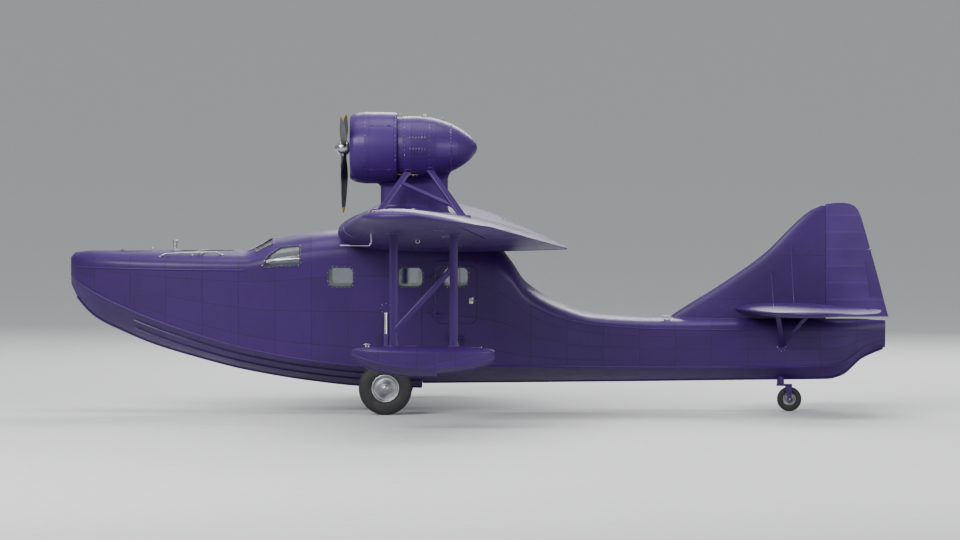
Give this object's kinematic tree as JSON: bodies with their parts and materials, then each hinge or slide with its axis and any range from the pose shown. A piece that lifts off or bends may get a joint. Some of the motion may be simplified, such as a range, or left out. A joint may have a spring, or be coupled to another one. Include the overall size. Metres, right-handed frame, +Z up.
{
  "type": "flying boat",
  "caption": "Cabin flying boat on wheels: boat hull with a step, thick high wing with floats, a radial engine on struts above the wing, braced low tailplane.",
  "frame": {"origin": "on the ground below the middle of the bounding box", "axes": "-X towards the nose, -Y to port, +Z up; the keel line is level"},
  "size_m": [14, 18.5, 5.1237],
  "materials": {
    "hull_paint": "semi-gloss indigo blue paint on riveted sheet",
    "wing_paint": "semi-gloss indigo blue paint on wing and tail skins",
    "cowl_paint": "semi-gloss indigo blue paint on spun sheet",
    "strut_paint": "indigo blue enamel on streamlined steel tube",
    "cabin_paint": "matt grey-green primer",
    "window_glass": "clear sheet, slightly blue",
    "panel_black": "black crackle finish",
    "bare_aluminium": "cast and sheet aluminium, dull",
    "bench_cloth": "brown woven upholstery",
    "engine_metal": "dark grey enamel and oiled steel",
    "exhaust_steel": "heat-browned steel",
    "propeller_metal": "forged aluminium, etched grey",
    "tyre_rubber": "black rubber"
  },
  "bodies": {
    "airframe": {"hull_bow": "hull_paint", "hull_cabin": "hull_paint", "hull_afterbody": "hull_paint", "cabin_glass_left_1": "window_glass", "cabin_glass_left_2": "window_glass", "cabin_glass_right_1": "window_glass", "cabin_glass_right_2": "window_glass", "cabin_glass_right_3": "window_glass", "cabin_floor": "cabin_paint", "cockpit_bulkhead": "cabin_paint", "instrument_panel": "panel_black", "control_columns": "panel_black", "windscreen_left": "window_glass", "cockpit_glass_left": "window_glass", "pilot_seat_left": "bare_aluminium", "bench_left": "bench_cloth", "windscreen_right": "window_glass", "cockpit_glass_right": "window_glass", "pilot_seat_right": "bare_aluminium", "bench_right": "bench_cloth", "wing_centre": "wing_paint", "wing_left": "wing_paint", "float_left": "hull_paint", "float_struts_left": "strut_paint", "wing_right": "wing_paint", "float_right": "hull_paint", "float_struts_right": "strut_paint", "nacelle": "cowl_paint", "cowling": "cowl_paint", "engine": "engine_metal", "exhaust_ring": "exhaust_steel", "pylon_fairing": "cowl_paint", "mount_struts_left": "strut_paint", "mount_struts_right": "strut_paint", "fin": "wing_paint", "tailplane_left": "wing_paint", "tail_struts_left": "strut_paint", "tailplane_right": "wing_paint", "tail_struts_right": "strut_paint", "gear_leg_left": "strut_paint", "gear_leg_right": "strut_paint", "tail_post": "strut_paint"},
    "propeller": {"propeller": "propeller_metal"},
    "rudder": {"rudder": "wing_paint"},
    "elevator": {"elevator_left": "wing_paint", "elevator_right": "wing_paint"},
    "aileron_left": {"aileron_left": "wing_paint"},
    "aileron_right": {"aileron_right": "wing_paint"},
    "main_wheel_left": {"main_tyre_left": "tyre_rubber", "main_hub_left": "bare_aluminium"},
    "main_wheel_right": {"main_tyre_right": "tyre_rubber", "main_hub_right": "bare_aluminium"},
    "tail_fork": {"tail_fork": "strut_paint"},
    "tail_wheel": {"tail_tyre": "tyre_rubber", "tail_hub": "bare_aluminium"},
    "cabin_door": {"cabin_door": "hull_paint", "door_glass": "window_glass"},
    "bow_hatch": {"bow_hatch": "hull_paint"}
  },
  "joints": [
    {"name": "propeller_spin", "type": "hinge", "parent": "airframe", "child": "propeller", "pos_m": [-2.34, 0, 4.514], "axis": [1, 0, 0], "continuous": true},
    {"name": "rudder_hinge", "type": "hinge", "parent": "airframe", "child": "rudder", "pos_m": [5.95, 0, 2.42], "axis": [0, 0, 1], "range_deg": [-25, 25]},
    {"name": "elevator_hinge", "type": "hinge", "parent": "airframe", "child": "elevator", "pos_m": [5.78, 0, 1.75], "axis": [0, -1, 0], "range_deg": [-20, 25]},
    {"name": "aileron_left_hinge", "type": "hinge", "parent": "airframe", "child": "aileron_left", "pos_m": [0.11741, -5, 3.16403], "axis": [-0.1105, -0.9924, 0.0543], "range_deg": [-20, 20]},
    {"name": "aileron_right_hinge", "type": "hinge", "parent": "airframe", "child": "aileron_right", "pos_m": [0.11741, 5, 3.16403], "axis": [0.1105, -0.9924, -0.0543], "range_deg": [-20, 20]},
    {"name": "main_wheel_left_spin", "type": "hinge", "parent": "airframe", "child": "main_wheel_left", "pos_m": [-1.6, -1.25, 0.45], "axis": [0, 1, 0], "continuous": true},
    {"name": "main_wheel_right_spin", "type": "hinge", "parent": "airframe", "child": "main_wheel_right", "pos_m": [-1.6, 1.25, 0.45], "axis": [0, 1, 0], "continuous": true},
    {"name": "tail_fork_swivel", "type": "hinge", "parent": "airframe", "child": "tail_fork", "pos_m": [5.15, 0, 0.465], "axis": [0, 0, 1], "continuous": true},
    {"name": "tail_wheel_spin", "type": "hinge", "parent": "tail_fork", "child": "tail_wheel", "pos_m": [5.3, 0, 0.21], "axis": [0, 1, 0], "continuous": true},
    {"name": "cabin_door_hinge", "type": "hinge", "parent": "airframe", "child": "cabin_door", "pos_m": [-0.772, -0.88, 2.02], "axis": [0, 0, -1], "range_deg": [0, 95]},
    {"name": "bow_hatch_hinge", "type": "hinge", "parent": "airframe", "child": "bow_hatch", "pos_m": [-6.13, 0, 2.772], "axis": [0, -1, 0], "range_deg": [0, 110]}
  ],
  "couplings": [
    {"joint": "aileron_right_hinge", "follows": "aileron_left_hinge", "ratio": -1}
  ]
}
